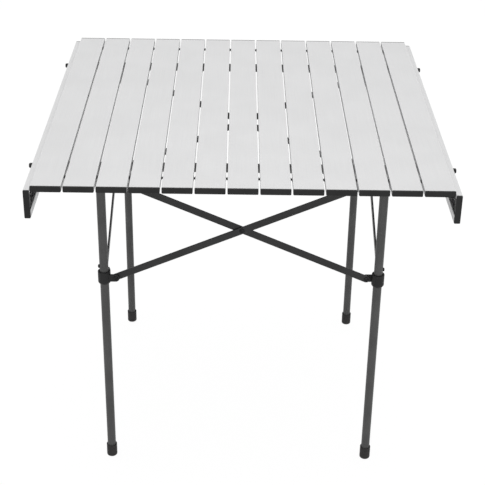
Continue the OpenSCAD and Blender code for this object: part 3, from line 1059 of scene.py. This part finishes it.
class CAMPTABLE_OT_feet(bpy.types.Operator):
    """Makes the four moulded feet, each with a groove and a rim around the leg"""

    bl_idname = "camptable.feet"
    bl_label = "Feet"

    def profile(self, outer, bore, tall):
        """Half section of a foot that stands on z = 0."""
        base, top, edge, fillet, seam = 0.0028, 0.0005, 0.0004, 0.0003, 0.0001
        groove = outer - 0.0006
        levels = (0.0058, 0.0051, 0.0044, 0.0037)
        groove_low, bed_low, bed_high, groove_high = (tall - level for level in levels)
        rim, recess, recess_low, bore_high, floor = 0.0008, 0.0011, 0.002, 0.0022, 0.004
        return softened(
            [
                (0, 0, 0), (outer, 0, base), (outer, groove_low, edge), (groove, bed_low, fillet),
                (groove, bed_high, fillet), (outer, groove_high, edge), (outer, tall, top),
                (outer - rim, tall, fillet), (outer - recess, tall - recess_low, fillet),
                (bore, tall - bore_high, seam), (bore, floor, 0), (0, floor, 0),
            ],
            guard=0.0001, closed=False,
        )

    def execute(self, context):
        sizes = context.scene.camp_frame
        for corner, (x, y) in CORNERS.items():
            low, high = node_box(f"foot_{corner}")
            profile = self.profile(sizes.foot / 2, sizes.tube / 2 + PRESS_FIT, high.z - low.z)
            place = moved(x * LEG_AT, y * LEG_AT, low.z)
            mesh = Blank().lathe(profile, place, sides=56).mesh()
            show(mesh, f"{corner}_foot_cap", "foot_rubber", f"{corner}_leg", f"foot_{corner}")
        return {"FINISHED"}


def lug_mesh(sizes, along_y, offset, height):
    """A pivot lug beside a leg at the origin: a plate with a round end, along +X or +Y."""
    half, root, edge = sizes.lug_height / 2, 0.0045, 0.0006
    outline = [(root, half), (root, -half)] + round_end(sizes.pivot_in, half, steps=20)
    if along_y:
        place = Matrix(((0, 0, 1, offset), (1, 0, 0, 0), (0, 1, 0, height), (0, 0, 0, 1)))
    else:
        place = Matrix(((1, 0, 0, 0), (0, 0, -1, offset + sizes.lug), (0, 1, 0, height), (0, 0, 0, 1)))
    return Blank().plate(outline, sizes.lug, edge, place).mesh()


def lugged(profile, closed, lugs, cuts):
    """A turned body with pivot lugs joined to it and bores cut out of it."""
    body = Blank().lathe(profile, sides=64, closed=closed).mesh()
    return settled(body, joins=[("UNION", lug) for lug in lugs] + [("DIFFERENCE", cut) for cut in cuts])


def corner_turn(corner):
    """From the frame of the front left leg to a corner's own place."""
    return turned("Z", list(CORNERS).index(corner)) @ moved(-LEG_AT, -LEG_AT, 0)


class CAMPTABLE_OT_hubs(bpy.types.Operator):
    """Makes the four hubs on the leg tops, with their pivot lugs and the saddle for a rail"""

    bl_idname = "camptable.hubs"
    bl_label = "Hubs"

    def hub(self, sizes, across):
        """A hub round the Z axis, with its saddle along X, or along Y if it lies across."""
        low, high = (corner.z for corner in node_box("hub_front_left"))
        outer, bore = sizes.collar / 2, sizes.tube / 2 + PRESS_FIT
        taper, taper_up = 0.0015, 0.002
        tip, edge, top = 0.0006, 0.001, 0.0008
        profile = softened(
            [
                (bore, low, 0), (outer - taper, low, tip), (outer, low + taper_up, edge), (outer, high, top),
                (0, high, 0),
            ],
            guard=0.0002, closed=False,
        )
        lugs = [
            lug_mesh(sizes, False, sizes.lug_from, sizes.pivot_up),
            lug_mesh(sizes, True, -sizes.lug_from - sizes.lug, sizes.pivot_up),
        ]
        socket = rod(bore, low - OVER, LEG_TOP + PRESS_FIT)
        saddle, reach = (RAIL_HIGH.z - RAIL_LOW.z) / 2 + SLIDE_FIT, 0.04
        lie = moved(0, 0, RAIL_Z) @ turned("Z", across) @ turned("Y")
        seat = rod(saddle, -reach, reach, lie, sides=72)
        return lugged([(0, low, 0.0), *profile], False, lugs, (socket, seat))

    def execute(self, context):
        hubs = [self.hub(context.scene.camp_frame, across) for across in (0, 1)]
        for k, corner in enumerate(CORNERS):
            name, place = f"{corner}_leg_hub", corner_turn(corner)
            show(hubs[k % 2], name, "moulded_plastic", f"{corner}_leg", f"hub_{corner}", place=place)
        return {"FINISHED"}


class CAMPTABLE_OT_collars(bpy.types.Operator):
    """Makes the four collars that slide on the legs and carry the lower ends of the braces"""

    bl_idname = "camptable.collars"
    bl_label = "Collars"

    def collar(self, sizes):
        """A collar round the Z axis."""
        outer, bore = sizes.collar / 2, sizes.tube / 2 + SLIDE_FIT
        low = sizes.pivot_low - sizes.collar_height / 2
        high = low + sizes.collar_height
        taper, taper_up, sink, sink_down = 0.002, 0.003, 0.0014, 0.0015
        mouth, tip, edge, brim, throat = 0.0005, 0.0008, 0.0012, 0.0003, 0.0004
        profile = softened(
            [
                (bore, low, mouth), (outer - taper, low, tip), (outer, low + taper_up, edge),
                (outer, high, edge), (bore + sink, high, brim), (bore, high - sink_down, throat),
            ],
            guard=0.0003,
        )
        lugs = [
            lug_mesh(sizes, False, -sizes.lug_from - sizes.lug, sizes.pivot_low),
            lug_mesh(sizes, True, sizes.lug_from, sizes.pivot_low),
        ]
        return lugged(profile, True, lugs, [rod(bore, low - OVER, high + OVER)])

    def execute(self, context):
        collar = self.collar(context.scene.camp_frame)
        for corner in CORNERS:
            name, place = f"{corner}_sliding_collar", corner_turn(corner)
            show(collar, name, "moulded_plastic", f"{corner}_collar", f"collar_{corner}", place=place)
        return {"FINISHED"}


class CAMPTABLE_OT_braces(bpy.types.Operator):
    """Makes the eight flat braces with their rivets"""

    bl_idname = "camptable.braces"
    bl_label = "Braces"

    def rivets(self, sizes, first, last, places):
        """Rivets from y = first to y = last at places along X, with a domed head beyond each end."""
        radius, rise, shank, length = sizes.rivet_head / 2, sizes.rivet_rise, sizes.rivet / 2, last - first
        steps, brim = 7, 0.22
        turns = [math.pi / 2 * k / steps for k in range(steps + 1)]
        dome = [(radius * math.sin(a), rise * (brim + (1 - brim) * math.cos(a))) for a in turns]
        profile = [(r, length + h, 0.0) for r, h in dome] + [(radius, length, 0.0), (shank, length, 0.0)]
        profile += [(shank, 0.0, 0.0), (radius, 0.0, 0.0)] + [(r, -h, 0.0) for r, h in reversed(dome)]
        rivet = Blank().lathe(profile, turned("X"), sides=32).mesh()
        return repeated(rivet, [((x, last, 0.0), STILL) for x in places], "black_steel")

    def execute(self, context):
        sizes = context.scene.camp_frame
        span, rise = 2 * (LEG_AT - sizes.pivot_in), sizes.pivot_up - sizes.pivot_low
        length, slope = math.hypot(span, rise), math.atan2(rise, span)
        outline = round_end(length / 2, sizes.brace / 2, steps=24)
        outline += [(-x, -z) for x, z in outline]
        deep, edge = sizes.brace_depth, 0.0007
        layer_gap, lug_gap, head_gap = 0.0001, 0.0002, 0.00015
        for k, side in enumerate(SIDES):
            for layer in ("outer", "inner"):
                near = -LEG_AT - layer_gap - deep if layer == "outer" else -LEG_AT + layer_gap
                far = near + deep
                tilt = turned("Z", k) @ moved(0, 0, (sizes.pivot_up + sizes.pivot_low) / 2)
                tilt = tilt @ Matrix.Rotation(-slope if layer == "outer" else slope, 4, "Y")
                name, body = f"{side}_{layer}", f"{side}_{layer}_brace"
                bar = Blank().plate(outline, deep, edge, moved(0, far, 0) @ turned("X")).mesh()
                show(bar, f"{name}_flat_brace", "brace_coat", body, f"brace_{name}", place=tilt)
                ends, beyond = (-length / 2, length / 2), lug_gap + sizes.lug + head_gap
                if layer == "outer":
                    cross_to = -LEG_AT + layer_gap + deep + 2 * PRESS_FIT
                    meshes = [
                        self.rivets(sizes, near - beyond, far + PRESS_FIT, ends),
                        self.rivets(sizes, near - PRESS_FIT, cross_to, [0.0]),
                    ]
                else:
                    meshes = [self.rivets(sizes, near - PRESS_FIT, far + beyond, ends)]
                show(merged(meshes), f"{name}_brace_rivets", "black_steel", body, place=tilt)
        return {"FINISHED"}


class CAMPTABLE_OT_stage(bpy.types.Operator):
    """Sets the camera, the pale floor and the soft light"""

    bl_idname = "camptable.stage"
    bl_label = "Stage"

    def camera(self, scene, stage):
        """Camera at the viewing angle."""
        down, yaw, lean = stage.look_down, stage.look_right, stage.lean
        ahead = Vector((math.sin(yaw) * math.cos(down), math.cos(yaw) * math.cos(down), -math.sin(down)))
        right = Vector((math.cos(yaw), -math.sin(yaw), 0))
        up = right.cross(ahead)
        across = right * math.cos(lean) + up * math.sin(lean)
        upward = up * math.cos(lean) - right * math.sin(lean)
        data = bpy.data.cameras.new("camera")
        data.sensor_width = 36.0
        data.lens = stage.lens
        data.clip_end = 50.0
        scene.camera = added("camera", data)
        turn = Matrix((across, upward, -ahead)).transposed().to_4x4()
        scene.camera.matrix_world = Matrix.Translation(stage.eye) @ turn

    def lamp(self, name, power, place, aim, size):
        """A soft square light that points at a place."""
        data = bpy.data.lights.new(name, "AREA")
        data.shape = "SQUARE"
        data.size = size
        data.energy = power
        lamp = added(name, data)
        lamp.location = place
        lamp.rotation_euler = (Vector(aim) - Vector(place)).to_track_quat("-Z", "Y").to_euler()

    def backdrop(self, bench):
        """One for rays from the camera, in gloss and through glass, and zero for all others."""
        seen = bench.add("ShaderNodeLightPath", out="Is Camera Ray")
        for ray in ("Is Glossy Ray", "Is Transmission Ray"):
            seen = seen.top(bench.add("ShaderNodeLightPath", out=ray))
        return seen

    def sky(self, scene, stage):
        """Even light all round, and white where it is seen."""
        world = bpy.data.worlds.new("studio")
        bench = Bench(cleared(world))
        light = self.backdrop(bench).ramp(0.0, 1.0, stage.ambient, 1.0)
        glow = bench.add("ShaderNodeBackground", None, {"Color": WHITE, "Strength": light})
        bench.add("ShaderNodeOutputWorld", None, {"Surface": glow})
        scene.world = world

    def ground(self, stage):
        """A wide floor that looks white and still takes a trace of shade."""
        half, glow, shown = 12, 1.03, 0.93
        mesh = bpy.data.meshes.new("floor")
        corners = [(-half, -half, 0), (half, -half, 0), (half, half, 0), (-half, half, 0)]
        mesh.from_pydata(corners, [], [(0, 1, 2, 3)])
        floor = added("floor", mesh)
        material = bpy.data.materials.new("pale_floor")
        bench = Bench(cleared(material))
        matte = bench.add("ShaderNodeBsdfDiffuse", None, {"Color": tint(stage.floor)})
        white = bench.add("ShaderNodeEmission", None, {"Color": WHITE, "Strength": glow})
        mix = bench.add("ShaderNodeMixShader", None, {0: self.backdrop(bench) * shown, 1: matte, 2: white})
        bench.add("ShaderNodeOutputMaterial", None, {"Surface": mix})
        mesh.materials.append(material)

    def execute(self, context):
        scene = context.scene
        stage = scene.camp_stage
        scene.view_settings.view_transform = "Standard"
        self.camera(scene, stage)
        self.sky(scene, stage)
        self.ground(stage)
        self.lamp("overhead", stage.key, place=(0.1, 0.25, 2.7), aim=(0, 0.05, 0.5), size=2.0)
        self.lamp("front", stage.fill, place=(0.4, -3.0, 0.6), aim=(0, 0, 0.2), size=1.6)
        return {"FINISHED"}


class CAMPTABLE_PT_panel(bpy.types.Panel):
    """Lists the table's pieces and settings."""

    bl_idname = "CAMPTABLE_PT_panel"
    bl_label = "Camp Table"
    bl_space_type = "VIEW_3D"
    bl_region_type = "UI"
    bl_category = "Camp Table"

    def draw(self, context):
        layout = self.layout
        for operator in OPERATORS:
            layout.operator(operator.bl_idname)
        for pointer, group in GROUPS.items():
            box = layout.box()
            box.label(text=group.__doc__)
            for name in group.__annotations__:
                box.prop(getattr(context.scene, pointer), name)


GROUPS = {
    "camp_top": TopSizes,
    "camp_frame": FrameSizes,
    "camp_finishes": Finishes,
    "camp_stage": StageSettings,
}
OPERATORS = (
    CAMPTABLE_OT_stage,
    CAMPTABLE_OT_slats,
    CAMPTABLE_OT_slat_fittings,
    CAMPTABLE_OT_cords,
    CAMPTABLE_OT_rails,
    CAMPTABLE_OT_legs,
    CAMPTABLE_OT_feet,
    CAMPTABLE_OT_hubs,
    CAMPTABLE_OT_collars,
    CAMPTABLE_OT_braces,
)


def register():
    """Registers the classes and hangs the settings on the scene."""
    for item in (*GROUPS.values(), *OPERATORS, CAMPTABLE_PT_panel):
        bpy.utils.register_class(item)
    for pointer, group in GROUPS.items():
        setattr(bpy.types.Scene, pointer, bpy.props.PointerProperty(type=group))


def unregister():
    """Takes the settings and classes away again."""
    for pointer in GROUPS:
        delattr(bpy.types.Scene, pointer)
    for item in reversed((*GROUPS.values(), *OPERATORS, CAMPTABLE_PT_panel)):
        bpy.utils.unregister_class(item)


def main():
    """Builds every piece."""
    register()
    bpy.ops.camptable.stage()
    bpy.ops.camptable.slats()
    bpy.ops.camptable.slat_fittings()
    bpy.ops.camptable.cords()
    bpy.ops.camptable.rails()
    bpy.ops.camptable.legs()
    bpy.ops.camptable.feet()
    bpy.ops.camptable.hubs()
    bpy.ops.camptable.collars()
    bpy.ops.camptable.braces()


if __name__ == "__main__":
    main()
